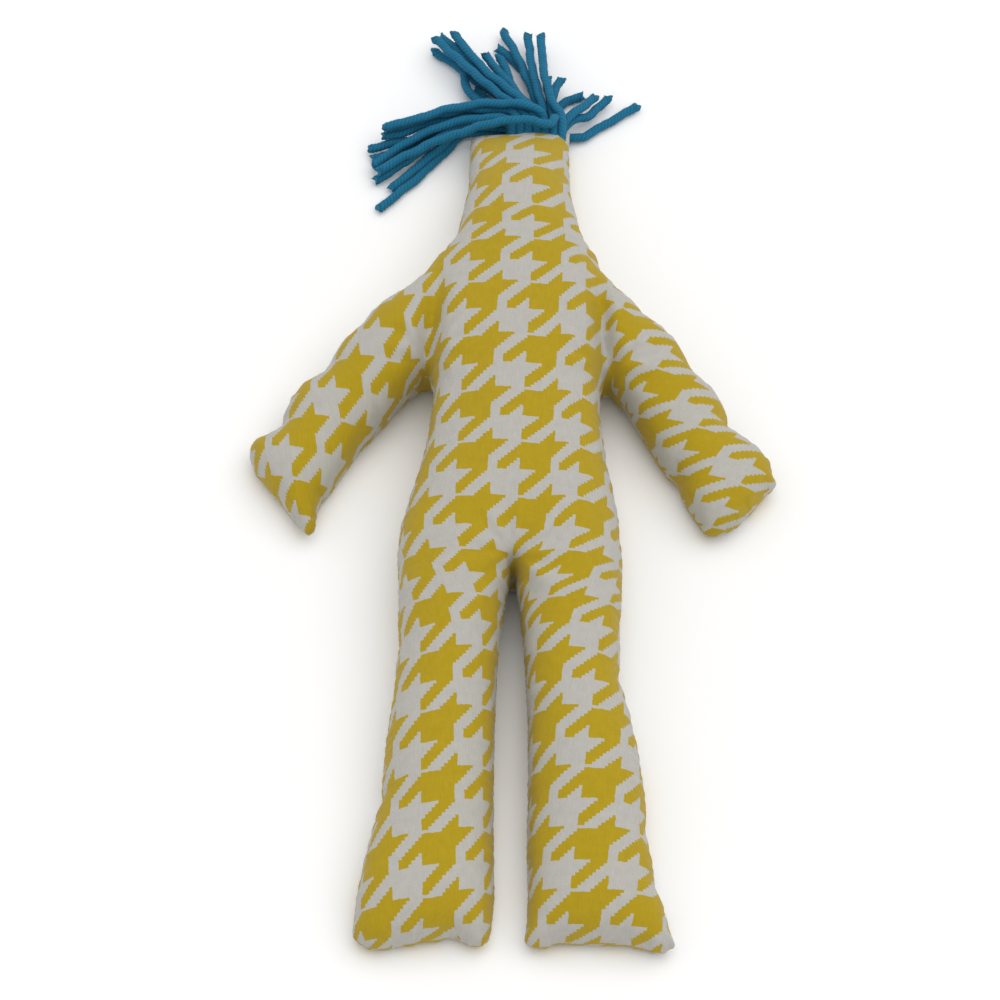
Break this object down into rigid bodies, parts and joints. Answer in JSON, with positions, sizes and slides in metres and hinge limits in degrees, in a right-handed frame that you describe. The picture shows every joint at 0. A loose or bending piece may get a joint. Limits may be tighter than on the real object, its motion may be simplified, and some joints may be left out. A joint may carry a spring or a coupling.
{
  "type": "stress relief doll",
  "caption": "Stuffed cloth doll with no face, sewn from a front and a back panel of houndstooth cotton, limp at neck, shoulders and hips, with a tuft of yarn hair in the crown seam.",
  "frame": {"origin": "on the floor, under the middle of the doll without its hair", "axes": "the doll lies on its back: +Y towards the crown, +X towards its own left arm, +Z out of its front"},
  "size_m": [0.176, 0.3534, 0.04],
  "materials": {
    "printed_cotton": "matte woven cotton",
    "fibre": "loose fibre filling",
    "yarn": "plied wool yarn"
  },
  "bodies": {
    "torso": {"torso_front_panel": "printed_cotton", "torso_back_panel": "printed_cotton", "torso_stuffing": "fibre"},
    "head": {"head_front_panel": "printed_cotton", "head_back_panel": "printed_cotton", "head_stuffing": "fibre", "hair_strand_01": "yarn", "hair_strand_02": "yarn", "hair_strand_03": "yarn", "hair_strand_04": "yarn", "hair_strand_05": "yarn", "hair_strand_06": "yarn", "hair_strand_07": "yarn", "hair_strand_08": "yarn", "hair_strand_09": "yarn", "hair_strand_10": "yarn", "hair_strand_11": "yarn", "hair_strand_12": "yarn", "hair_strand_13": "yarn", "hair_strand_14": "yarn", "hair_strand_15": "yarn", "hair_strand_16": "yarn", "hair_strand_17": "yarn", "hair_strand_18": "yarn", "hair_strand_19": "yarn", "hair_strand_20": "yarn", "hair_strand_21": "yarn", "hair_strand_22": "yarn", "hair_strand_23": "yarn", "hair_strand_24": "yarn", "hair_strand_25": "yarn", "hair_strand_26": "yarn", "hair_strand_27": "yarn", "hair_strand_28": "yarn"},
    "left_leg": {"left_leg_front_panel": "printed_cotton", "left_leg_back_panel": "printed_cotton", "left_leg_stuffing": "fibre"},
    "right_leg": {"right_leg_front_panel": "printed_cotton", "right_leg_back_panel": "printed_cotton", "right_leg_stuffing": "fibre"},
    "left_arm": {"left_arm_front_panel": "printed_cotton", "left_arm_back_panel": "printed_cotton", "left_arm_stuffing": "fibre"},
    "right_arm": {"right_arm_front_panel": "printed_cotton", "right_arm_back_panel": "printed_cotton", "right_arm_stuffing": "fibre"}
  },
  "joints": [
    {"name": "neck", "type": "hinge", "parent": "torso", "child": "head", "pos_m": [0, 0.1, 0.017], "axis": [1, 0, 0], "range_deg": [-45, 45], "stiffness_Nm_per_rad": 0.01},
    {"name": "left_hip", "type": "hinge", "parent": "torso", "child": "left_leg", "pos_m": [0.019, -0.034, 0.017], "axis": [-1, 0, 0], "range_deg": [-45, 45], "stiffness_Nm_per_rad": 0.01},
    {"name": "right_hip", "type": "hinge", "parent": "torso", "child": "right_leg", "pos_m": [-0.019, -0.034, 0.017], "axis": [-1, 0, 0], "range_deg": [-45, 45], "stiffness_Nm_per_rad": 0.01},
    {"name": "left_shoulder", "type": "hinge", "parent": "torso", "child": "left_arm", "pos_m": [0.02724, 0.0705, 0.017], "axis": [0.0926, -0.9957, 0], "range_deg": [-45, 45], "stiffness_Nm_per_rad": 0.01},
    {"name": "right_shoulder", "type": "hinge", "parent": "torso", "child": "right_arm", "pos_m": [-0.02724, 0.0705, 0.017], "axis": [0.0926, 0.9957, 0], "range_deg": [-45, 45], "stiffness_Nm_per_rad": 0.01}
  ]
}
